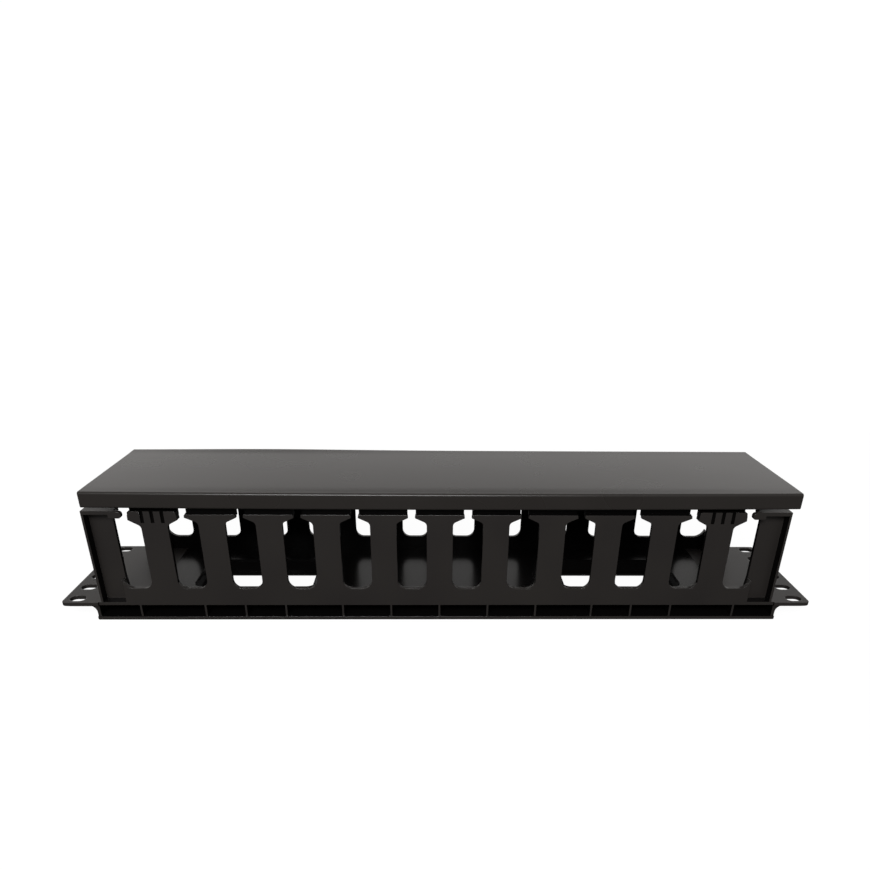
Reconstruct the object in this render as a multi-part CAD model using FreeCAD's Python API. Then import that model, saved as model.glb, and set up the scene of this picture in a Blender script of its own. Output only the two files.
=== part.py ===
import FreeCAD, Part
import math
import os

# Horizontal cable manager, two rack units tall: a slotted duct with a push-on hinged cover.
# Millimetres. X runs along the rack width, Y along the rack height, +Z out of the rack front.
# The rear plate's outer face lies on z = 0.

# rack panel
rack_width = 482.6
panel_height = 88.1
ear_width = 21.8
ear_thickness = 2.4
ear_corner = 3.5
ear_root_fillet = 5.0
mount_edge_distance = 8.75
mount_from_long_edge = 5.95
mount_row_pitch = 15.875
mount_slot_length = 10.0
mount_slot_width = 6.8

# hollow back box behind the duct floor
plate_inset_y = 0.15
plate_thickness = 2.7
plate_edge_round = 0.4
recess_height = 7.9
floor_thickness = 2.2
end_wall_thickness = 2.0
spine_thickness = 2.0
rib_thickness = 1.3
opening_rib_offset = 25.75
end_rib_inset = 28.2

# pass-through openings in the back
opening_from_end = 95.1
opening_length = 80.5
opening_width = 42.0
opening_corner = 5.0
opening_rim_round = 3.6
opening_floor_chamfer = 1.2
opening_wall = 2.0

# round mark on the rear face
mark_y = 4.0
mark_radius = 4.85
mark_depth = 0.8
nub_radius = 1.2
nub_height = 0.6

# duct walls and their T-headed fingers; heights are above the duct floor
wall_inset_y = 1.05
wall_thickness = 2.5
finger_count = 11
finger_width = 16.1
slot_bottom_height = 9.7
slot_corner = 5.8
head_root_height = 54.6
head_root_round = 3.0
head_edge_height = 58.0
head_gap = 4.2
head_draft = 0.2
head_top_chamfer = 0.4
ledge_height = 60.0
shelf_thickness = 1.6

# end posts
post_inset = 3.8
post_width = 15.9
post_depth = 8.5
post_rim_thickness = 1.4
post_web_thickness = 1.4
post_panel_recess = 6.0
post_height = 62.1
post_tip_thickness = 2.4
post_tip_reach = 3.4
hook_reach = 8.0
hook_drop = 0.8
hook_thickness = 3.9
hook_nose_round = 1.8

# cover
cover_overhang = 0.9
cover_shift_x = 2.4
lip_stand_off = 1.2
cover_height = 11.2
cover_thickness = 2.1
cover_edge_round = 0.9
lip_bottom_height = 63.5
lip_thickness = 1.8
bead_end_inset = 4.5
stiffener_y = -10.0
stiffener_thickness = 2.0
stiffener_end_inset = 10.6
stiffener_depth = 14.2

# push-on hinge: the bead under the cover lip turns in the groove behind the finger nose
bead_radius = 1.3
hinge_clearance = 0.3
neck_thickness = 2.0
neck_relief = 2.0
neck_slope = 2.2
tip_rise = 2.5
tip_lead = 0.5
tip_setback = 0.4

# latch fingers, one at each end of each wall
latch_from_post = 26.8
latch_head_half = 14.9
latch_head_shift = 0.5
latch_root_height = 53.0
latch_end_root_height = 52.3
latch_edge_height = 56.4
latch_lip_gap = 1.5
latch_draft = 0.6
latch_top_round = 1.0
grip_pitch = 6.15
grip_bottom_height = 54.4
grip_half_width = 1.1
grip_foot_depth = 0.9
grip_top_depth = 1.9

# sizes that follow from the ones above: along the rack width
box_half_x = rack_width / 2.0 - ear_width
mount_x = rack_width / 2.0 - mount_edge_distance
opening_x = box_half_x - opening_from_end
post_half_x = box_half_x - post_inset
wall_half_x = post_half_x - post_width
slot_end_x = wall_half_x - post_web_thickness
post_tip_inner_x = wall_half_x - post_tip_reach
hook_tip_x = wall_half_x - hook_reach
cover_half_x = post_half_x + cover_overhang
stiffener_half_x = cover_half_x - stiffener_end_inset
latch_x = wall_half_x - latch_from_post
latch_head_x = latch_x + latch_head_shift
finger_pitch = 2.0 * latch_x / (finger_count - 1)
head_half = (finger_pitch - head_gap) / 2.0
last_head_half = latch_head_x - latch_head_half - head_gap - (latch_x - finger_pitch)

# sizes that follow from the ones above: along the rack height
panel_half_y = panel_height / 2.0
plate_half_y = panel_half_y - plate_inset_y
wall_outer_y = panel_half_y - wall_inset_y
cover_outer_y = wall_outer_y + lip_stand_off

# heights from the rear face
floor_bottom = plate_thickness + recess_height
floor_top = floor_bottom + floor_thickness
slot_bottom_z = floor_top + slot_bottom_height
head_root_z = floor_top + head_root_height
head_edge_z = floor_top + head_edge_height
ledge_z = floor_top + ledge_height
shelf_bottom_z = ledge_z - shelf_thickness
post_top_z = floor_top + post_height
lip_bottom_z = floor_top + lip_bottom_height
cover_top_z = lip_bottom_z + cover_height
stiffener_bottom_z = cover_top_z - cover_thickness - stiffener_depth
hinge_z = lip_bottom_z + bead_radius
tip_top_z = hinge_z + tip_rise
latch_root_z = floor_top + latch_root_height
latch_end_root_z = floor_top + latch_end_root_height
latch_edge_z = floor_top + latch_edge_height
web_top_z = slot_bottom_z + slot_corner
latch_top_z = lip_bottom_z - latch_lip_gap
grip_bottom_z = floor_top + grip_bottom_height

# places across the duct
hinge_y = cover_outer_y - bead_radius
groove_radius = bead_radius + hinge_clearance
neck_y = hinge_y - groove_radius
neck_front_y = neck_y - neck_relief
neck_inner_y = neck_front_y - neck_thickness
tip_inner_y = neck_y - neck_thickness
lip_inner_y = cover_outer_y - lip_thickness
nose_y = lip_inner_y - hinge_clearance
nose_start_z = hinge_z + math.sqrt(groove_radius ** 2 - (hinge_y - nose_y) ** 2)
wall_inner_y = wall_outer_y - wall_thickness
wall_middle_y = wall_outer_y - wall_thickness / 2.0
post_inner_y = wall_outer_y - post_depth
panel_face_y = wall_outer_y - post_panel_recess
far_out = 5.0


def block(x0, x1, y0, y1, z0, z1):
    return Part.makeBox(x1 - x0, y1 - y0, z1 - z0, FreeCAD.Vector(x0, y0, z0))


def flat_xy(u, v):
    return FreeCAD.Vector(u, v, 0)


def flat_xz(u, v):
    return FreeCAD.Vector(u, 0, v)


def flat_yz(u, v):
    return FreeCAD.Vector(0, u, v)


def rounded_face(corners, lay):
    """Face bounded by (u, v, radius) corners, each rounded by its radius, laid out by lay."""
    edges = []
    starts = []
    ends = []
    middles = []
    count = len(corners)
    for i in range(count):
        u, v, radius = corners[i]
        pu, pv, _ = corners[i - 1]
        nu, nv, _ = corners[(i + 1) % count]
        back = FreeCAD.Vector(pu - u, pv - v, 0).normalize()
        ahead = FreeCAD.Vector(nu - u, nv - v, 0).normalize()
        here = FreeCAD.Vector(u, v, 0)
        if radius > 0:
            half = back.getAngle(ahead) / 2.0
            reach = radius / math.tan(half)
            bisector = (back + ahead).normalize()
            centre = here + bisector * (radius / math.sin(half))
            starts.append(here + back * reach)
            ends.append(here + ahead * reach)
            middles.append(centre - bisector * radius)
        else:
            starts.append(here)
            ends.append(here)
            middles.append(None)
    for i in range(count):
        j = (i + 1) % count
        a = lay(starts[i].x, starts[i].y)
        b = lay(ends[i].x, ends[i].y)
        if middles[i] is not None:
            m = lay(middles[i].x, middles[i].y)
            edges.append(Part.Arc(a, m, b).toShape())
        c = lay(starts[j].x, starts[j].y)
        if b.distanceToPoint(c) > 1e-6:
            edges.append(Part.makeLine(b, c))
    return Part.Face(Part.Wire(edges))


def rounded_plate(half_x, half_y, radius, z0, z1):
    corners = [
        (-half_x, -half_y, radius),
        (half_x, -half_y, radius),
        (half_x, half_y, radius),
        (-half_x, half_y, radius),
    ]
    plate = rounded_face(corners, flat_xy).extrude(FreeCAD.Vector(0, 0, z1 - z0))
    plate.translate(FreeCAD.Vector(0, 0, z0))
    return plate


def across_y(face, y0, y1):
    """Solid swept from a face in the XZ plane, between two Y values."""
    solid = face.extrude(FreeCAD.Vector(0, y1 - y0, 0))
    solid.translate(FreeCAD.Vector(0, y0, 0))
    return solid


def along_x(face, x0, x1):
    """Solid swept from a face in the YZ plane, between two X values."""
    solid = face.extrude(FreeCAD.Vector(x1 - x0, 0, 0))
    solid.translate(FreeCAD.Vector(x0, 0, 0))
    return solid


def mirror_x(shape):
    return shape.mirror(FreeCAD.Vector(0, 0, 0), FreeCAD.Vector(1, 0, 0))


def mirror_y(shape):
    return shape.mirror(FreeCAD.Vector(0, 0, 0), FreeCAD.Vector(0, 1, 0))


def make_rear_plate():
    plate = block(-box_half_x, box_half_x, -plate_half_y, plate_half_y, 0, plate_thickness)
    rim = [e for e in plate.Edges if e.BoundBox.ZMax < 0.01]
    return plate.makeFillet(plate_edge_round, rim)


def rib_stations():
    """Middles of the cross ribs: between, under and beyond the two openings."""
    steps = [opening_x / 4.0, opening_x / 2.0]
    steps = steps + [opening_x - opening_rib_offset, opening_x, opening_x + opening_rib_offset]
    steps = steps + [box_half_x - end_rib_inset]
    return [-step for step in reversed(steps)] + [0.0] + steps


def make_back_box():
    """Rear plate, duct floor, end walls, spine, ribs and the walls round the openings."""
    pieces = [make_rear_plate()]
    pieces.append(block(-box_half_x, box_half_x, -wall_outer_y, wall_outer_y, floor_bottom, floor_top))
    spine_half = spine_thickness / 2.0
    inner_x = box_half_x - end_wall_thickness
    cell_bottom = plate_thickness / 2.0
    cell_top = floor_top - floor_thickness / 2.0
    pieces.append(block(-inner_x, inner_x, -spine_half, spine_half, cell_bottom, cell_top))
    for x0 in (-box_half_x, inner_x):
        pieces.append(block(x0, x0 + end_wall_thickness, -wall_outer_y, wall_outer_y, cell_bottom, cell_top))
    for station in rib_stations():
        x0 = station - rib_thickness / 2.0
        pieces.append(block(x0, x0 + rib_thickness, -wall_outer_y, wall_outer_y, cell_bottom, cell_top))
    for side in (-1, 1):
        frame = rounded_plate(
            opening_length / 2.0 - opening_floor_chamfer + opening_wall,
            opening_width / 2.0 - opening_floor_chamfer + opening_wall,
            opening_corner - opening_floor_chamfer + opening_wall,
            cell_bottom,
            cell_top,
        )
        frame.translate(FreeCAD.Vector(side * opening_x, 0, 0))
        pieces.append(frame)
    return pieces[0].multiFuse(pieces[1:])


def hole_in_block(inset, z0, z1, face_z):
    """Block with a hole that is smaller than the opening by an inset, and the hole's rim edges on one face."""
    margin = far_out + opening_rim_round
    half_x = opening_length / 2.0
    half_y = opening_width / 2.0
    stock = block(-half_x - margin, half_x + margin, -half_y - margin, half_y + margin, z0, z1)
    throat = rounded_plate(half_x - inset, half_y - inset, opening_corner - inset, z0, z1)
    ring = stock.cut(throat)
    throat_box = throat.BoundBox
    rim = []
    for edge in ring.Edges:
        box = edge.BoundBox
        on_face = box.ZLength < 0.01 and abs(box.ZMin - face_z) < 0.01
        inside = box.XMax < throat_box.XMax + 0.01 and box.XMin > throat_box.XMin - 0.01
        inside = inside and box.YMax < throat_box.YMax + 0.01 and box.YMin > throat_box.YMin - 0.01
        if on_face and inside:
            rim.append(edge)
    return stock, ring, rim


def make_opening_void():
    """Space of one pass-through: a well with a chamfered edge at the duct floor and a full bullnose behind."""
    mouth_top = opening_rim_round + opening_floor_chamfer
    stock, ring, rim = hole_in_block(opening_floor_chamfer, opening_rim_round, floor_top, floor_top)
    well = stock.cut(ring.makeChamfer(opening_floor_chamfer, rim))
    stock, ring, rim = hole_in_block(opening_rim_round, 0, mouth_top, 0)
    mouth = stock.cut(ring.makeFillet(opening_rim_round, rim))
    return well.fuse(mouth)


def mount_rows():
    """Y of the ear slots on the +Y side, from the panel's edge towards its middle."""
    rows = []
    row = panel_half_y - mount_from_long_edge
    while row > mount_slot_width / 2.0:
        rows.append(row)
        row = row - mount_row_pitch
    return rows


def make_ear():
    """Right-hand rack ear with its six slots and the fillet that joins it to the box."""
    half_x = rack_width / 2.0
    half_y = panel_half_y
    root_x = box_half_x - end_wall_thickness
    corners = [
        (root_x, -half_y, 0),
        (half_x, -half_y, ear_corner),
        (half_x, half_y, ear_corner),
        (root_x, half_y, 0),
    ]
    ear = rounded_face(corners, flat_xy).extrude(FreeCAD.Vector(0, 0, ear_thickness))
    ear.translate(FreeCAD.Vector(0, 0, floor_top - ear_thickness))
    ear_back = floor_top - ear_thickness
    radius = ear_root_fillet
    corner = flat_xz(box_half_x, ear_back)
    low = flat_xz(box_half_x, ear_back - radius)
    out = flat_xz(box_half_x + radius, ear_back)
    bow = radius * (1.0 - math.sqrt(0.5))
    middle = flat_xz(box_half_x + bow, ear_back - bow)
    inner_low = flat_xz(root_x, ear_back - radius)
    inner_high = flat_xz(root_x, ear_back)
    edges = [
        Part.Arc(low, middle, out).toShape(),
        Part.makeLine(out, corner),
        Part.makeLine(corner, inner_high),
        Part.makeLine(inner_high, inner_low),
        Part.makeLine(inner_low, low),
    ]
    web = across_y(Part.Face(Part.Wire(edges)), -wall_outer_y, wall_outer_y)
    slots = []
    slot_half = (mount_slot_length - mount_slot_width) / 2.0
    slot_radius = mount_slot_width / 2.0
    for row in mount_rows():
        for side in (-1, 1):
            slot = rounded_plate(slot_half + slot_radius, slot_radius, slot_radius * 0.999, 0, floor_top + far_out)
            slot.translate(FreeCAD.Vector(mount_x, side * row, 0))
            slots.append(slot)
    return ear.fuse(web).cut(slots[0].multiFuse(slots[1:]))


def head_side(stem_x, edge_x, root_z, edge_z):
    """Outline up one side of a finger: slot corner, head root, head edge, then its drafted side to the top."""
    side = 1 if edge_x > stem_x else -1
    top_x = edge_x - side * head_draft
    flare = head_top_chamfer + far_out
    return [
        (stem_x, slot_bottom_z, slot_corner),
        (stem_x, root_z, head_root_round),
        (edge_x, edge_z, 0),
        (top_x, ledge_z - head_top_chamfer, 0),
        (top_x - side * flare, ledge_z + far_out, 0),
    ]


def plain_head_side(finger_x, side, half):
    stem_x = finger_x + side * finger_width / 2.0
    return head_side(stem_x, finger_x + side * half, head_root_z, head_edge_z)


def latch_head_side(side, root_z):
    stem_x = latch_x + side * finger_width / 2.0
    return head_side(stem_x, latch_head_x + side * latch_head_half, root_z, latch_edge_z)


def make_slots():
    """Cutters of all the finger slots of the wall on the +Y side."""
    y0 = wall_inner_y - far_out
    y1 = wall_outer_y + far_out
    cutters = []
    for i in range(finger_count - 3):
        left_x = (i + 1) * finger_pitch - latch_x
        outline = plain_head_side(left_x, 1, head_half)
        outline = outline + plain_head_side(left_x + finger_pitch, -1, head_half)[::-1]
        cutters.append(across_y(rounded_face(outline, flat_xz), y0, y1))
    outline = plain_head_side(latch_x - finger_pitch, 1, last_head_half)
    outline = outline + latch_head_side(-1, latch_root_z)[::-1]
    last_cutter = across_y(rounded_face(outline, flat_xz), y0, y1)
    outside = wall_half_x + far_out
    outline = latch_head_side(1, latch_end_root_z)
    outline = outline + [
        (outside, ledge_z + far_out, 0),
        (outside, web_top_z, 0),
        (slot_end_x, web_top_z, 0),
        (slot_end_x, slot_bottom_z, slot_corner * 0.999),
    ]
    end_cutter = across_y(rounded_face(outline, flat_xz), y0, y1)
    return cutters + [last_cutter, mirror_x(last_cutter), end_cutter, mirror_x(end_cutter)]


def make_tip_band():
    """Finger tips with the hinge groove, one bar along the wall before the gaps are cut."""
    groove_mid = math.radians(180.0 - math.degrees(math.asin((nose_start_z - hinge_z) / groove_radius)) / 2.0)
    p_low = flat_yz(neck_y, hinge_z)
    p_mid = flat_yz(hinge_y + groove_radius * math.cos(groove_mid), hinge_z + groove_radius * math.sin(groove_mid))
    p_high = flat_yz(nose_y, nose_start_z)
    path = [
        flat_yz(nose_y, tip_top_z - tip_lead),
        flat_yz(nose_y - tip_lead, tip_top_z),
        flat_yz(tip_inner_y + tip_lead, tip_top_z),
        flat_yz(tip_inner_y, tip_top_z - tip_lead),
        flat_yz(tip_inner_y, hinge_z),
        flat_yz(neck_inner_y, hinge_z - neck_slope),
        flat_yz(neck_inner_y, shelf_bottom_z),
        flat_yz(wall_middle_y, shelf_bottom_z),
        flat_yz(wall_middle_y, ledge_z),
        flat_yz(neck_front_y, ledge_z),
        flat_yz(neck_front_y, hinge_z - neck_slope),
        p_low,
    ]
    edges = [Part.Arc(p_low, p_mid, p_high).toShape()]
    edges.append(Part.makeLine(p_high, path[0]))
    for a, b in zip(path, path[1:]):
        edges.append(Part.makeLine(a, b))
    reach = latch_head_x + latch_head_half - head_draft - tip_setback
    band = along_x(Part.Face(Part.Wire(edges)), -reach, reach)
    half = head_gap / 2.0 + tip_setback
    last_gap_x = latch_head_x - latch_head_half - head_gap / 2.0
    centres = [(i + 1.5) * finger_pitch - latch_x for i in range(finger_count - 3)]
    gaps = []
    for centre in [-last_gap_x] + centres + [last_gap_x]:
        gaps.append(
            block(
                centre - half,
                centre + half,
                neck_inner_y - far_out,
                wall_outer_y + far_out,
                shelf_bottom_z - far_out,
                tip_top_z + far_out,
            )
        )
    return band.cut(gaps[0].multiFuse(gaps[1:]))


def make_latch_pad():
    """Raised front of the end finger's head, reaching up to the cover lip."""
    corners = [
        (latch_head_x - latch_head_half, latch_edge_z, 0),
        (latch_head_x + latch_head_half, latch_edge_z, 0),
        (latch_head_x + latch_head_half - latch_draft, latch_top_z, latch_top_round),
        (latch_head_x - latch_head_half + latch_draft, latch_top_z, latch_top_round),
    ]
    return across_y(rounded_face(corners, flat_xz), neck_front_y - neck_thickness / 2.0, wall_outer_y)


def make_grip_grooves():
    """Three finger-grip grooves in the latch head: cuts with bevelled bottoms that deepen towards the tip."""
    height = latch_top_z - grip_bottom_z
    lean = math.degrees(math.atan((grip_top_depth - grip_foot_depth) / height))
    foot_y = wall_outer_y - grip_foot_depth
    bevel = grip_half_width / 2.0
    profile = [
        (-grip_half_width, wall_outer_y + far_out, 0),
        (-grip_half_width, foot_y + bevel, 0),
        (-grip_half_width + bevel, foot_y, 0),
        (grip_half_width - bevel, foot_y, 0),
        (grip_half_width, foot_y + bevel, 0),
        (grip_half_width, wall_outer_y + far_out, 0),
    ]
    run_out = latch_lip_gap / 3.0
    groove = rounded_face(profile, flat_xy).extrude(FreeCAD.Vector(0, 0, height + run_out))
    groove.rotate(FreeCAD.Vector(0, foot_y, 0), FreeCAD.Vector(1, 0, 0), lean)
    grooves = []
    for i in (-1, 0, 1):
        copy = groove.copy()
        copy.translate(FreeCAD.Vector(latch_head_x + i * grip_pitch, 0, grip_bottom_z))
        grooves.append(copy)
    return grooves


def make_finger_wall():
    """Duct wall on the +Y side with its fingers, hinge tips and two latch fingers."""
    plain = block(-wall_half_x, wall_half_x, wall_inner_y, wall_outer_y, floor_bottom, ledge_z)
    cutters = make_slots()
    wall = plain.cut(cutters[0].multiFuse(cutters[1:]))
    pad = make_latch_pad()
    wall = wall.multiFuse([make_tip_band(), pad, mirror_x(pad)])
    grooves = make_grip_grooves()
    grooves = grooves + [mirror_x(groove) for groove in grooves]
    return wall.cut(grooves[0].multiFuse(grooves[1:]))


def make_post():
    """Hooked end post at the +X +Y corner: a recessed panel, an outer rim, a tip plate and a nose."""
    rim = block(post_half_x - post_rim_thickness, post_half_x, post_inner_y, wall_outer_y, floor_bottom, post_top_z)
    panel = block(wall_half_x, post_half_x, post_inner_y, panel_face_y, floor_bottom, post_top_z)
    tip_bottom = post_top_z - post_tip_thickness
    tip = block(post_tip_inner_x, post_half_x, post_inner_y, wall_outer_y, tip_bottom, post_top_z)
    hook_top_z = post_top_z - hook_drop
    hook_bottom_z = hook_top_z - hook_thickness
    hook_corners = [
        (wall_half_x, post_top_z, 0),
        (post_tip_inner_x, post_top_z, 0),
        (hook_tip_x, hook_top_z, hook_nose_round),
        (hook_tip_x, hook_bottom_z, hook_nose_round),
        (wall_half_x, hook_bottom_z, 0),
    ]
    hook = across_y(rounded_face(hook_corners, flat_xz), wall_inner_y, wall_outer_y)
    web = block(slot_end_x, wall_half_x, post_inner_y, wall_outer_y, floor_bottom, web_top_z)
    return rim.multiFuse([panel, tip, hook, web])


def make_mark():
    """Shallow round recess on the rear face, with a small nub left standing in it."""
    centre = FreeCAD.Vector(0, mark_y, 0)
    up = FreeCAD.Vector(0, 0, 1)
    dish = Part.makeCylinder(mark_radius, mark_depth, centre, up)
    nub_foot = FreeCAD.Vector(0, mark_y, mark_depth - nub_height)
    return dish.cut(Part.makeCylinder(nub_radius, nub_height, nub_foot, up))


def make_base():
    ear = make_ear()
    wall = make_finger_wall()
    post = make_post()
    far_post = mirror_y(post)
    pieces = [ear, mirror_x(ear), wall, mirror_y(wall)]
    pieces = pieces + [post, mirror_x(post), far_post, mirror_x(far_post)]
    base = make_back_box().multiFuse(pieces)
    void = make_opening_void()
    for side in (-1, 1):
        hole = void.copy()
        hole.translate(FreeCAD.Vector(side * opening_x, 0, 0))
        base = base.cut(hole)
    base = base.cut(make_mark())
    return base.removeSplitter()


def make_lip():
    """Cover lip on the +Y side; its lower edge is round, and the bead swells inward from it."""
    blade = block(-cover_half_x, cover_half_x, lip_inner_y, cover_outer_y, hinge_z, cover_top_z - cover_thickness)
    turn = FreeCAD.Vector(1, 0, 0)
    bead_half = cover_half_x - bead_end_inset
    bead = Part.makeCylinder(bead_radius, 2.0 * bead_half, FreeCAD.Vector(-bead_half, hinge_y, hinge_z), turn)
    edge = Part.makeCylinder(bead_radius, 2.0 * cover_half_x, FreeCAD.Vector(-cover_half_x, hinge_y, hinge_z), turn)
    trim = block(-cover_half_x, cover_half_x, lip_inner_y, cover_outer_y, lip_bottom_z, hinge_z)
    return blade.multiFuse([bead, edge.common(trim)])


def make_cover():
    corners = [
        (-cover_outer_y, cover_top_z - cover_thickness, 0),
        (cover_outer_y, cover_top_z - cover_thickness, 0),
        (cover_outer_y, cover_top_z, cover_edge_round),
        (-cover_outer_y, cover_top_z, cover_edge_round),
    ]
    top = along_x(rounded_face(corners, flat_yz), -cover_half_x, cover_half_x)
    lip = make_lip()
    half = stiffener_thickness / 2.0
    stiffener = block(
        -stiffener_half_x,
        stiffener_half_x,
        stiffener_y - half,
        stiffener_y + half,
        stiffener_bottom_z,
        cover_top_z - cover_thickness / 2.0,
    )
    cover = top.multiFuse([lip, mirror_y(lip), stiffener]).removeSplitter()
    cover.translate(FreeCAD.Vector(cover_shift_x, 0, 0))
    return cover


def only_solid(shape):
    """The single solid of a shape; a shape that fell into several pieces is an error."""
    if len(shape.Solids) != 1:
        raise ValueError("expected one solid, found %d" % len(shape.Solids))
    return shape.Solids[0]


os.makedirs("parts", exist_ok=True)
only_solid(make_base()).exportStep("parts/base.step")
only_solid(make_cover()).exportStep("parts/cover.step")
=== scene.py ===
import math

import bmesh
import bpy
from mathutils import Matrix, Vector


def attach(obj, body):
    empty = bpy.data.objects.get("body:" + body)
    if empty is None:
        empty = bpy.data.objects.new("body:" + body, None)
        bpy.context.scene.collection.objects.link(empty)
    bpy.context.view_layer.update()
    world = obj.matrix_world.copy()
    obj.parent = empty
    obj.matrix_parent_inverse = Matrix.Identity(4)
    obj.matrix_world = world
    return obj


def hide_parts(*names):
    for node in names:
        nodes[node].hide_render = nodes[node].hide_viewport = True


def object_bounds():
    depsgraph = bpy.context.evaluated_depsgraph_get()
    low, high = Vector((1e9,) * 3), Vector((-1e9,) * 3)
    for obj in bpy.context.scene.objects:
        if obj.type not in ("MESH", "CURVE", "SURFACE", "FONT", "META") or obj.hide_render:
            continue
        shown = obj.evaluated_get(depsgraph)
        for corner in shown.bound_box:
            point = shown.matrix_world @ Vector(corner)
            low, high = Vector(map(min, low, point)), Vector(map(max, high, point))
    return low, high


# Horizontal cable manager in black moulded ABS, lying on its back with the cover on top.
# The scene is in metres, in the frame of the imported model: X along the rack, Y up the rack, Z out
# of the rack front. Places and lengths on the part are listed in millimetres, and places without
# their sign where both sides are alike.

MM = 0.001
NEAR = 0.01

# clean-up of a CAD mesh and its broken edges
MERGE = 0.002
CUT_REACH = 0.001
FLAT_ANGLE = math.radians(0.4)
SHARP_ANGLE = math.radians(28.0)
BASE_EDGE = 0.32
COVER_EDGE = 0.25
EDGE_STEPS = 2
EAR_EDGE = 0.95
EAR_EDGE_STEPS = 4

# face attributes: which half of the mould shaped a face, 1 satin cavity and 0 polished core, the
# latter painted blacker as shade; its roughness, and how much of a plain plastic's reflection it
# keeps
SKIN_AND_SHADE = "unshaded_satin"
SHEEN = "sheen"
SHINE = "shine"
DUCT_SHEEN = 0.42
COVER_SHEEN = 0.28
FLOOR_SHEEN = 0.19
CORE_SHEEN = 0.24
GRIP_SHEEN = 0.85
EDGE_SHEEN = 0.22
# shine kept: full on satin faces and the floor, and a cut share on other polished faces, which
# darkens them as painted shade
FULL_SHINE = 0.5
CORE_SHADE_SHINE = 0.12

# black ABS: its tones, and the marks that moulding leaves on it
DUCT_TONES = ("#252221", "#292624")
COVER_TONES = ("#282523", "#2b2826")
# blacker tone painted as shade on the inner, recessed and hidden faces
PAINTED_SHADE_TONE = "#0b0a0a"
PLASTIC_IOR = 1.45
FLOW_PATCH = 45.0
FLOW_SPREAD = {"From Min": 0.3, "From Max": 0.7}
FLOW_SHEEN = 0.012
SINK_WAVE = 70.0
SINK_DEPTH = 0.10
EDGE_ROUND = 0.55
EDGE_SAMPLES = 6
EDGE_TURN = {"From Min": 0.998, "From Max": 0.96}

# the colour sockets of a Mix node, which share their names with its number sockets
MIX_COLOUR_A = 6
MIX_COLOUR_B = 7
MIX_COLOUR_RESULT = 2
# and its vector sockets
MIX_VECTOR_A = 4
MIX_VECTOR_B = 5
MIX_VECTOR_RESULT = 1

# cover: the rounds of its long edges, as (Y, Z) of a centre and (drawn, real) radius
TOP_ROUND = (43.3, 86.6)
TOP_ROUND_RADII = (0.9, 1.5)
# and its warp, which starts at some way from the middle line and is whole at the sides
COVER_MIDDLE = 2.4
COVER_HALF_LENGTH = 216.6
WARP_CUTS = 12
WARP_CUT_PITCH = 18.0
WARP_CUTS_Y = (-39.0, -33.0, 33.0, 39.0)
WARP_FROM_Y = 30.0
WARP_MARGIN_Y = (26.0, 43.0)
LIP_TO_TOP_Z = (77.0, 86.0)
LIP_RISE = 1.0
FRONT_SINK, FRONT_BOW = 0.15, 0.75
BACK_RISE, BACK_BOW = 0.2, 0.75
BACK_BOW_X, BACK_BOW_WIDTH = -118.0, 75.0

# back box: the rounds of its foot, as the places of a centre along X, Y and -Z
FOOT_X = 219.1
FOOT_Y = 43.5
FOOT_DOWN = -0.4
FOOT_RADII = (0.4, 1.1)

# web between an end slot and its post, which leans out towards its top
WEB_X = (192.5, 198.45)
WEB_FROM_Y = 34.4
WEB_Z = (22.4, 28.4)
WEB_LEAN_FROM_Z = 22.5
WEB_LEAN = 1.38 / 5.8

# ears: the levels of their faces, the box side they start at, and their outline
EAR_LEVELS = (12.8, 10.4)
EAR_FROM_X = 219.4
EAR_END_X = 241.3
EAR_SIDE_Y = 44.05
EAR_CORNER = (237.8, 40.55)
EAR_CORNER_RADIUS = 3.5

# finger-grip grooves of the latches
GRIP_X = (167.35, 173.5, 179.65)
GRIP_REACH = 1.25
GRIP_EDGE_REACH = 1.3
GRIP_Y = (40.6, 43.1)
GRIP_FROM_Z = 66.5

# which faces of the base lie on the satin side of the mould; the rest are polished and painted
# blacker as shade
BOX_END_X = 219.3
CELLS_Z = (2.8, 10.5)
OUTER_FACE_Y = 42.4
WEB_SKIN_X = (192.0, 199.95)
WEB_SKIN_Z = (21.0, 30.0)
POST_FROM_X = 199.0
POST_FROM_Y = 36.9
PANEL_X = (199.6, 215.6)
PANEL_TOP_Z = 70.0
END_FLOOR_X = 187.0
FLOOR_TOP_Z = 14.0
HOOK_X = 190.0
HOOK_Z = 69.0
FINGER_Y = 40.5
FINGER_Z = (20.0, 60.0)
# planes across X and Y that part broad faces where the satin skin meets the painted shade
SKIN_AND_SHADE_CUTS = ((0, (END_FLOOR_X, 199.3, PANEL_X[1])), (1, (37.0,)))
# and of the cover
COVER_TOP_Z = 85.6
LIP_Y = 42.6
# least share of a normal along an axis, for a face across it, a leaning one and one that barely
# leans towards it
ACROSS = 0.7
LEANING = 0.3
BARELY = 0.2

# paper sweep, in metres: its tones to the camera and to the part, and its share of plain white
PAPER_TONE = "#f4f4f3"
PAPER_TONE_TO_PART = "#605f5e"
SWEEP_HALF_SIZE = 60.0
SWEEP_GAP = 0.1 * MM
SWEEP_GLOW = 1.06
SWEEP_WHITE = {"From Min": 0.4, "From Max": 1.2, "To Min": 0.90, "To Max": 1.0}
SWEEP_WHITE_IN_GLOSS = 0.04
PLAIN_WHITE = "#ffffff"

# room: its wall behind the part, by the direction of a ray along Y, and its foot, by that along Z
ROOM_TONE = "#fbf9f7"
ROOM_LEVEL = 0.30
WALL_BEHIND = {"From Min": 0.1, "From Max": 0.7}
WALL_FOOT = {"From Min": 0.40, "From Max": 0.16, "To Min": 0.15, "To Max": 1.00}
BACKDROP_LEVEL = 1.02

# soft box, in metres and watts
SOFT_BOX_SIZE = (0.74, 0.45)
SOFT_BOX_POWER = 16.7
SOFT_BOX_PLACE = Vector((-0.205, -1.20, 0.98))
SOFT_BOX_AIM = Vector((0.0, 0.0, 0.04))

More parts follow.
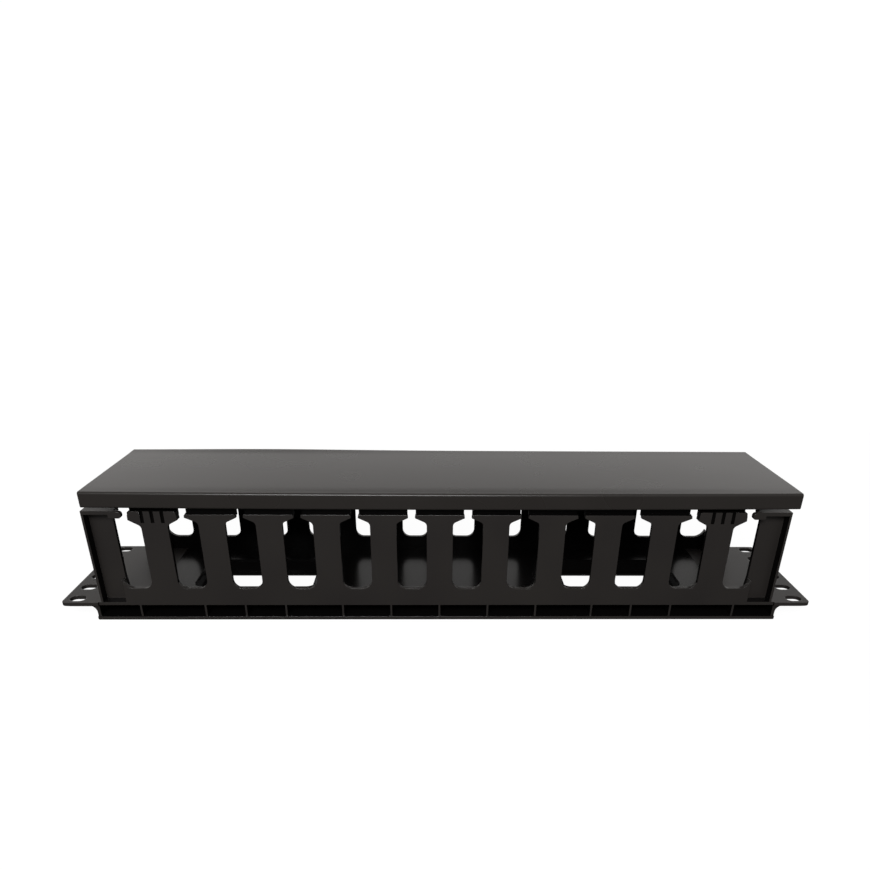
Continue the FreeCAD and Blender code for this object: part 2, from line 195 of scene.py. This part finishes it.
# camera, with its angles in degrees and its clipping in metres
EYE = Vector((-4.55, -430.16, 226.73)) * MM
LOOK_DOWN = 26.048
HEADING = -1.255
LEAN = 0.594
LENS_MM = 28.378
SENSOR_MM = 36.0
SHIFT_SIDE = -0.01253
SHIFT_UP = 0.15252
CLIP = (0.01, 200.0)


def linear_colour(hex_code):
    """sRGB hex code as a linear RGBA colour."""
    channels = []
    for start in (1, 3, 5):
        value = int(hex_code[start:start + 2], 16) / 255.0
        if value <= 0.04045:
            channels.append(value / 12.92)
        else:
            channels.append(((value + 0.055) / 1.055) ** 2.4)
    return (*channels, 1.0)


def add_node(tree, kind, settings=None, values=None, links=None):
    """Node of a kind, with its settings, its socket values and the sockets that feed it."""
    node = tree.nodes.new(kind)
    for name, value in (settings or {}).items():
        setattr(node, name, value)
    for name, value in (values or {}).items():
        node.inputs[name].default_value = value
    for name, source in (links or {}).items():
        tree.links.new(source, node.inputs[name])
    return node


def new_tree(holder):
    """Empty node tree of a material or a world."""
    holder.use_nodes = True
    holder.node_tree.nodes.clear()
    return holder.node_tree


def plastic_colour(tree, unshaded_satin, flow, tones, shade_tone):
    """Satin tones that drift with the flow of the melt, and the blacker tone painted as shade on
    the polished inner faces.
    """
    drift = add_node(
        tree, "ShaderNodeMapRange", values=FLOW_SPREAD, links={"Value": flow}
    ).outputs["Result"]
    outside = add_node(
        tree, "ShaderNodeMix", {"data_type": "RGBA"},
        {MIX_COLOUR_A: linear_colour(tones[0]), MIX_COLOUR_B: linear_colour(tones[1])},
        {"Factor": drift},
    ).outputs[MIX_COLOUR_RESULT]
    # the blacker tone is painted as shade where the mask is 0
    return add_node(
        tree, "ShaderNodeMix", {"data_type": "RGBA"},
        {MIX_COLOUR_A: linear_colour(shade_tone)},
        {"Factor": unshaded_satin, MIX_COLOUR_B: outside},
    ).outputs[MIX_COLOUR_RESULT]


def shiny_edges(tree, unshaded_satin, rough):
    """Roughness and normal of the plastic: its satin edges catch the light over a small shinier
    round, as on a moulding that has left its tool."""
    rounded = add_node(
        tree, "ShaderNodeBevel", {"samples": EDGE_SAMPLES}, {"Radius": EDGE_ROUND * MM}
    ).outputs["Normal"]
    flat = add_node(tree, "ShaderNodeNewGeometry").outputs["Normal"]
    along = add_node(
        tree, "ShaderNodeVectorMath", {"operation": "DOT_PRODUCT"}, links={0: rounded, 1: flat}
    ).outputs["Value"]
    at_edge = add_node(
        tree, "ShaderNodeMapRange", values=EDGE_TURN, links={"Value": along, "To Max": unshaded_satin}
    ).outputs["Result"]
    rough = add_node(
        tree, "ShaderNodeMapRange",
        values={"To Max": EDGE_SHEEN}, links={"Value": at_edge, "To Min": rough},
    ).outputs["Result"]
    facing = add_node(
        tree, "ShaderNodeMix", {"data_type": "VECTOR"},
        links={"Factor": unshaded_satin, MIX_VECTOR_A: flat, MIX_VECTOR_B: rounded},
    ).outputs[MIX_VECTOR_RESULT]
    return rough, facing


def moulded_abs(name, tones, shade_tone):
    """Black injection-moulded ABS: satin outside, copied from a spark-eroded cavity, and shinier
    inside, where the core of the mould is polished, and painted blacker there as the shade inside
    the part; flow marks vary the sheen a little and shallow sink waves bend long reflections."""
    material = bpy.data.materials.new(name)
    tree = new_tree(material)
    place = add_node(tree, "ShaderNodeTexCoord").outputs["Object"]
    unshaded_satin, sheen, shine = [
        add_node(
            tree, "ShaderNodeAttribute", {"attribute_type": "GEOMETRY", "attribute_name": name}
        ).outputs["Fac"]
        for name in (SKIN_AND_SHADE, SHEEN, SHINE)
    ]

    # flow of the melt, in patches that vary the tone and the sheen
    flow = add_node(
        tree, "ShaderNodeTexNoise",
        values={"Scale": 1.0 / (FLOW_PATCH * MM), "Detail": 1.0, "Roughness": 0.5},
        links={"Vector": place},
    ).outputs["Fac"]
    drift = add_node(
        tree, "ShaderNodeMapRange",
        values={**FLOW_SPREAD, "To Min": -FLOW_SHEEN, "To Max": FLOW_SHEEN},
        links={"Value": flow},
    ).outputs["Result"]
    rough = add_node(
        tree, "ShaderNodeMath", {"operation": "MULTIPLY_ADD"}, links={0: drift, 1: unshaded_satin, 2: sheen}
    ).outputs[0]
    rough, facing = shiny_edges(tree, unshaded_satin, rough)

    # sink waves over ribs and gates
    waves = add_node(
        tree, "ShaderNodeTexNoise",
        values={"Scale": 1.0 / (SINK_WAVE * MM), "Detail": 0.0},
        links={"Vector": place},
    ).outputs["Fac"]
    sink = add_node(
        tree, "ShaderNodeBump",
        values={"Strength": 1.0, "Distance": SINK_DEPTH * MM},
        links={"Height": waves, "Normal": facing},
    ).outputs["Normal"]

    colour = plastic_colour(tree, unshaded_satin, flow, tones, shade_tone)
    shader = add_node(
        tree, "ShaderNodeBsdfPrincipled",
        values={"IOR": PLASTIC_IOR},
        links={
            "Base Color": colour, "Roughness": rough,
            "Specular IOR Level": shine, "Normal": sink,
        },
    ).outputs["BSDF"]
    add_node(tree, "ShaderNodeOutputMaterial", links={"Surface": shader})
    return material


def within(value, span):
    """True inside a span, ends left out."""
    return span[0] < value < span[1]


def smooth_step(value, span):
    """0 below a span and 1 above it, with a soft slope between."""
    share = min(max((value - span[0]) / (span[1] - span[0]), 0.0), 1.0)
    return share * share * (3.0 - 2.0 * share)


def unsigned(point):
    """A point of the scene in millimetres, with X and Y without their sign."""
    return abs(point.x) / MM, abs(point.y) / MM, point.z / MM


def cut_at(shape, axis, places):
    """Faces of a mesh split along planes across an axis."""
    normal = Vector((0.0, 0.0, 0.0))
    normal[axis] = 1.0
    for place in places:
        bmesh.ops.bisect_plane(
            shape, geom=shape.verts[:] + shape.edges[:] + shape.faces[:],
            plane_co=normal * (place * MM), plane_no=normal, dist=CUT_REACH * MM,
        )


def grow_edge_round(across, up, centre, radii):
    """Point of a rounded edge moved to the same angle on a larger round inside the same corner."""
    old, new = radii
    angle = math.atan2(up - centre[1], across - centre[0])
    return (
        centre[0] - (new - old) + new * math.cos(angle),
        centre[1] - (new - old) + new * math.sin(angle),
    )


def cover_warp(x, y, z):
    """Rise of a place on the cover's sides, most at the top of a side and at its lip."""
    middle = 1.0 - ((x - COVER_MIDDLE) / COVER_HALF_LENGTH) ** 2
    if y < 0.0:
        top = -(FRONT_SINK + FRONT_BOW * middle)
    else:
        top = BACK_RISE + BACK_BOW * math.exp(-(((x - BACK_BOW_X) / BACK_BOW_WIDTH) ** 2))
    lip = LIP_RISE * (1.0 - middle)
    height = smooth_step(z, LIP_TO_TOP_Z)
    return smooth_step(abs(y), WARP_MARGIN_Y) * (height * top + (1.0 - height) * lip)


def relax_cover(shape):
    """Long thin cover as it comes out of the mould: soft long edges, its near side bowed down a
    little between the ends and its far side up, and its lip drawn in towards the ends."""
    for v in shape.verts:
        _, y, z = unsigned(v.co)
        if y > TOP_ROUND[0] - NEAR and z > TOP_ROUND[1] - NEAR:
            y, z = grow_edge_round(y, z, TOP_ROUND, TOP_ROUND_RADII)
            v.co.y, v.co.z = math.copysign(y * MM, v.co.y), z * MM
    cut_at(shape, 0, [i * WARP_CUT_PITCH for i in range(-WARP_CUTS, WARP_CUTS + 1)])
    cut_at(shape, 1, WARP_CUTS_Y)
    for v in shape.verts:
        x, y, z = v.co / MM
        if abs(y) > WARP_FROM_Y:
            v.co.z += cover_warp(x, y, z) * MM


def relax_base(shape):
    """Soft foot of the back box and a blended corner between each end slot and its post."""
    for v in shape.verts:
        x, y, z = unsigned(v.co)
        at_foot = z < -FOOT_DOWN + 0.1 * NEAR
        at_side = y > FOOT_Y - NEAR
        if at_foot and x > FOOT_X - NEAR:
            x, down = grow_edge_round(x, -z, (FOOT_X, FOOT_DOWN), FOOT_RADII)
            if not at_side:
                z = -down
        if at_foot and at_side:
            y, down = grow_edge_round(y, -z, (FOOT_Y, FOOT_DOWN), FOOT_RADII)
            z = -down
        if within(x, WEB_X) and y > WEB_FROM_Y and within(z, WEB_Z):
            x += WEB_LEAN * (z - WEB_LEAN_FROM_Z)
        v.co = (math.copysign(x * MM, v.co.x), math.copysign(y * MM, v.co.y), z * MM)


def on_ear_outline(edge):
    """True for the top and bottom edges of the ears' outer outline."""
    for v in edge.verts:
        x, y, z = unsigned(v.co)
        level = any(abs(z - face_z) < NEAR for face_z in EAR_LEVELS)
        radius = math.hypot(x - EAR_CORNER[0], y - EAR_CORNER[1])
        at_corner = (
            x > EAR_CORNER[0] - NEAR and y > EAR_CORNER[1] - NEAR
            and abs(radius - EAR_CORNER_RADIUS) < 2.0 * NEAR
        )
        at_rim = y > EAR_SIDE_Y - NEAR or x > EAR_END_X - NEAR or at_corner
        if not (level and x > EAR_FROM_X and at_rim):
            return False
    return abs(edge.verts[0].co.z - edge.verts[1].co.z) < NEAR * MM


def from_grip(x):
    """Distance from the middle of the nearest finger-grip groove, along X."""
    return min(abs(x - grip_x) for grip_x in GRIP_X)


def at_grip(edge):
    """True for the edges of the finger-grip grooves."""
    for v in edge.verts:
        x, y, z = unsigned(v.co)
        if not (from_grip(x) < GRIP_EDGE_REACH and y > GRIP_Y[0] and z > GRIP_FROM_Z):
            return False
    return True


def unshaded_satin_on_base(x, y, z, normal):
    """True for a satin face of the base and False for a polished one painted blacker as shade, by
    its middle (X and Y without sign) and its normal.
    """
    if x > BOX_END_X:
        return True
    if within(z, CELLS_Z):
        return False
    at_web = within(x, WEB_SKIN_X) and y > POST_FROM_Y and within(z, WEB_SKIN_Z)
    if y > OUTER_FACE_Y or (at_web and abs(normal.y) < ACROSS):
        return True
    if z < CELLS_Z[0]:
        return normal.z < ACROSS
    if within(x, PANEL_X) and y > POST_FROM_Y:
        return abs(normal.y) > ACROSS or z > PANEL_TOP_Z
    at_post = x > POST_FROM_X and y > POST_FROM_Y
    on_end_floor = x > END_FLOOR_X and z < FLOOR_TOP_Z
    if at_post or on_end_floor or (x > HOOK_X and z > HOOK_Z):
        return True
    return y > FINGER_Y and within(z, FINGER_Z) and normal.z > LEANING


def unshaded_satin_on_cover(x, y, z, normal):
    """The same for the cover: its outside is satin, and its hollow side polished and painted
    blacker as shade.
    """
    return (z > COVER_TOP_Z and normal.z > BARELY) or y > LIP_Y


def face_finish(x, y, z, normal, is_unshaded_satin, sheen):
    """Skin, roughness and shine of a face; a grip groove, deep in shade, gets the painted shade
    tone and no shine, and other polished faces above the floor a cut shine as painted shade.
    """
    # a grip groove gets the painted shade tone and no reflection, as the shade deep in it
    if from_grip(x) < GRIP_REACH and within(y, GRIP_Y) and z > GRIP_FROM_Z:
        return 0.0, GRIP_SHEEN, 0.0
    if is_unshaded_satin(x, y, z, normal):
        return 1.0, sheen, FULL_SHINE
    if z < FLOOR_TOP_Z and normal.z > ACROSS:
        return 0.0, FLOOR_SHEEN, FULL_SHINE
    return 0.0, CORE_SHEEN, CORE_SHADE_SHINE


def mark_faces(shape, is_unshaded_satin, sheen):
    """Finish of each face, with the painted shade of the polished ones, kept as face attributes for
    the plastic's shader.
    """
    layers = [shape.faces.layers.float.new(name) for name in (SKIN_AND_SHADE, SHEEN, SHINE)]
    for face in shape.faces:
        face.smooth = True
        middle = unsigned(face.calc_center_median())
        for layer, value in zip(layers, face_finish(*middle, face.normal, is_unshaded_satin, sheen)):
            face[layer] = value


def hard_edges(shape):
    """Edges between two faces that meet at a sharp angle."""
    return [
        edge for edge in shape.edges
        if len(edge.link_faces) == 2 and edge.calc_face_angle(0.0) > SHARP_ANGLE
    ]


def break_edges(shape, edges, width, steps):
    """Round edges off to a width, in small steps."""
    if edges:
        bmesh.ops.bevel(
            shape, geom=edges, offset=width * MM, offset_type="OFFSET", affect="EDGES",
            segments=steps, profile=0.5, material=-1, clamp_overlap=True,
        )


def dressed_copy(node, name, body, edge, relax, cuts, is_unshaded_satin, sheen, material):
    """Copy of a CAD node with its hard edges broken, as a mould leaves them, in its own plastic,
    whose inner faces are painted with shade.
    """
    mesh = node.data.copy()
    mesh.name = name
    shape = bmesh.new()
    shape.from_mesh(mesh)
    bmesh.ops.remove_doubles(shape, verts=shape.verts, dist=MERGE * MM)
    bmesh.ops.dissolve_limit(shape, angle_limit=FLAT_ANGLE, verts=shape.verts, edges=shape.edges)
    relax(shape)
    for axis, places in cuts:
        cut_at(shape, axis, [side * place for place in places for side in (-1.0, 1.0)])
    outline = [e for e in hard_edges(shape) if on_ear_outline(e)]
    break_edges(shape, outline, EAR_EDGE, EAR_EDGE_STEPS)
    others = [e for e in hard_edges(shape) if not at_grip(e)]
    break_edges(shape, others, edge, EDGE_STEPS)
    mark_faces(shape, is_unshaded_satin, sheen)
    shape.to_mesh(mesh)
    shape.free()
    mesh.materials.clear()
    mesh.materials.append(material)
    piece = bpy.data.objects.new(name, mesh)
    bpy.context.scene.collection.objects.link(piece)
    flats = piece.modifiers.new("flat faces keep flat shading", "WEIGHTED_NORMAL")
    flats.weight = 100
    flats.keep_sharp = False
    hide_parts(node.name)
    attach(piece, body)


def white_paper():
    """Paper sweep, white to the camera and grey as the part sees it; near the part a tenth of the
    paper's own shading is kept for its shadow, and farther out it fades to plain white."""
    material = bpy.data.materials.new("white_paper_sweep")
    tree = new_tree(material)
    rays = add_node(tree, "ShaderNodeLightPath").outputs
    direct = add_node(
        tree, "ShaderNodeMath", {"operation": "MAXIMUM"},
        links={0: rays["Is Camera Ray"], 1: rays["Is Transmission Ray"]},
    ).outputs[0]
    place = add_node(tree, "ShaderNodeTexCoord").outputs["Object"]
    reach = add_node(
        tree, "ShaderNodeVectorMath", {"operation": "LENGTH"}, links={0: place}
    ).outputs["Value"]
    white_share = add_node(
        tree, "ShaderNodeMapRange", {"interpolation_type": "SMOOTHSTEP"},
        SWEEP_WHITE, {"Value": reach},
    ).outputs["Result"]
    share = add_node(
        tree, "ShaderNodeMath", {"operation": "MULTIPLY"}, links={0: direct, 1: white_share}
    ).outputs[0]
    share = add_node(
        tree, "ShaderNodeMath", {"operation": "MULTIPLY_ADD"},
        {1: SWEEP_WHITE_IN_GLOSS}, {0: rays["Is Glossy Ray"], 2: share},
    ).outputs[0]
    tint = add_node(
        tree, "ShaderNodeMix", {"data_type": "RGBA"},
        {
            MIX_COLOUR_A: linear_colour(PAPER_TONE_TO_PART),
            MIX_COLOUR_B: linear_colour(PAPER_TONE),
        },
        {"Factor": direct},
    ).outputs[MIX_COLOUR_RESULT]
    paper = add_node(tree, "ShaderNodeBsdfDiffuse", links={"Color": tint}).outputs["BSDF"]
    glow = add_node(
        tree, "ShaderNodeEmission",
        values={"Color": linear_colour(PLAIN_WHITE), "Strength": SWEEP_GLOW},
    ).outputs["Emission"]
    mixed = add_node(
        tree, "ShaderNodeMixShader", links={"Fac": share, 1: paper, 2: glow}
    ).outputs["Shader"]
    add_node(tree, "ShaderNodeOutputMaterial", links={"Surface": mixed})
    return material


def pale_floor():
    """White sheet under and around the part."""
    mesh = bpy.data.meshes.new("floor")
    shape = bmesh.new()
    bmesh.ops.create_grid(shape, x_segments=1, y_segments=1, size=SWEEP_HALF_SIZE)
    shape.to_mesh(mesh)
    shape.free()
    mesh.materials.append(white_paper())
    floor = bpy.data.objects.new("floor", mesh)
    floor.location = (0.0, 0.0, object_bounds()[0][2] - SWEEP_GAP)
    bpy.context.scene.collection.objects.link(floor)


def white_room():
    """Dim room with a white wall behind the part, and plain white to the camera."""
    world = bpy.data.worlds.new("white_room")
    bpy.context.scene.world = world
    tree = new_tree(world)
    rays = add_node(tree, "ShaderNodeLightPath").outputs
    direct = add_node(
        tree, "ShaderNodeMath", {"operation": "MAXIMUM"},
        links={0: rays["Is Camera Ray"], 1: rays["Is Transmission Ray"]},
    ).outputs[0]
    sky = add_node(tree, "ShaderNodeTexCoord").outputs["Generated"]
    way = add_node(tree, "ShaderNodeSeparateXYZ", links={"Vector": sky}).outputs
    behind, low = [
        add_node(
            tree, "ShaderNodeMapRange", {"interpolation_type": "SMOOTHSTEP"},
            levels, {"Value": way[axis]},
        ).outputs["Result"]
        for axis, levels in (("Y", WALL_BEHIND), ("Z", WALL_FOOT))
    ]
    level = add_node(
        tree, "ShaderNodeMath", {"operation": "MULTIPLY_ADD"}, {2: ROOM_LEVEL}, {0: behind, 1: low}
    ).outputs[0]
    room = add_node(
        tree, "ShaderNodeBackground",
        values={"Color": linear_colour(ROOM_TONE)}, links={"Strength": level},
    ).outputs["Background"]
    white = add_node(
        tree, "ShaderNodeBackground",
        values={"Color": linear_colour(PLAIN_WHITE), "Strength": BACKDROP_LEVEL},
    ).outputs["Background"]
    mixed = add_node(
        tree, "ShaderNodeMixShader", links={"Fac": direct, 1: room, 2: white}
    ).outputs["Shader"]
    add_node(tree, "ShaderNodeOutputWorld", links={"Surface": mixed})


def soft_box():
    """Wide soft lamp in front of the part and above it, a little to the left."""
    lamp = bpy.data.lights.new("soft_box", "AREA")
    lamp.shape = "RECTANGLE"
    lamp.size, lamp.size_y = SOFT_BOX_SIZE
    lamp.energy = SOFT_BOX_POWER
    box = bpy.data.objects.new("soft_box", lamp)
    box.location = SOFT_BOX_PLACE
    box.rotation_euler = (SOFT_BOX_AIM - SOFT_BOX_PLACE).to_track_quat("-Z", "Y").to_euler()
    bpy.context.scene.collection.objects.link(box)


def studio_camera():
    """Camera in front of the part, looking down on the cover."""
    lens = bpy.data.cameras.new("camera")
    lens.sensor_fit = "HORIZONTAL"
    lens.sensor_width = SENSOR_MM
    lens.lens = LENS_MM
    lens.shift_x = SHIFT_SIDE
    lens.shift_y = SHIFT_UP
    lens.clip_start, lens.clip_end = CLIP
    camera = bpy.data.objects.new("camera", lens)
    turn = Matrix.Rotation(math.radians(HEADING), 4, "Z")
    tilt = Matrix.Rotation(math.radians(90.0 - LOOK_DOWN), 4, "X")
    lean = Matrix.Rotation(math.radians(LEAN), 4, "Z")
    camera.matrix_world = Matrix.Translation(EYE) @ turn @ tilt @ lean
    bpy.context.scene.collection.objects.link(camera)
    bpy.context.scene.camera = camera


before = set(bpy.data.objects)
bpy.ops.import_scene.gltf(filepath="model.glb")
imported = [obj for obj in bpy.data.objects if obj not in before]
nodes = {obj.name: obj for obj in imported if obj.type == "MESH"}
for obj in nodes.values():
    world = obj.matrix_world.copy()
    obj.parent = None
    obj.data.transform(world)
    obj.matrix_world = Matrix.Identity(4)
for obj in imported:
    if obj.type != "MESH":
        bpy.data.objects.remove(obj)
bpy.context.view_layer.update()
bpy.context.scene.view_settings.view_transform = "Standard"

# duct: satin fingers and ears with soft broad highlights, and a glossier inside painted blacker as
# shade
duct_plastic = moulded_abs("moulded_abs_duct", DUCT_TONES, PAINTED_SHADE_TONE)
# cover: a smoother satin that carries a soft reflection of the wall behind it
cover_plastic = moulded_abs("moulded_abs_cover", COVER_TONES, PAINTED_SHADE_TONE)
dressed_copy(
    nodes["base"], "duct_moulding", "duct", BASE_EDGE,
    relax_base, SKIN_AND_SHADE_CUTS, unshaded_satin_on_base, DUCT_SHEEN, duct_plastic,
)
dressed_copy(
    nodes["cover"], "cover_moulding", "cover", COVER_EDGE,
    relax_cover, (), unshaded_satin_on_cover, COVER_SHEEN, cover_plastic,
)

pale_floor()
white_room()
soft_box()
studio_camera()
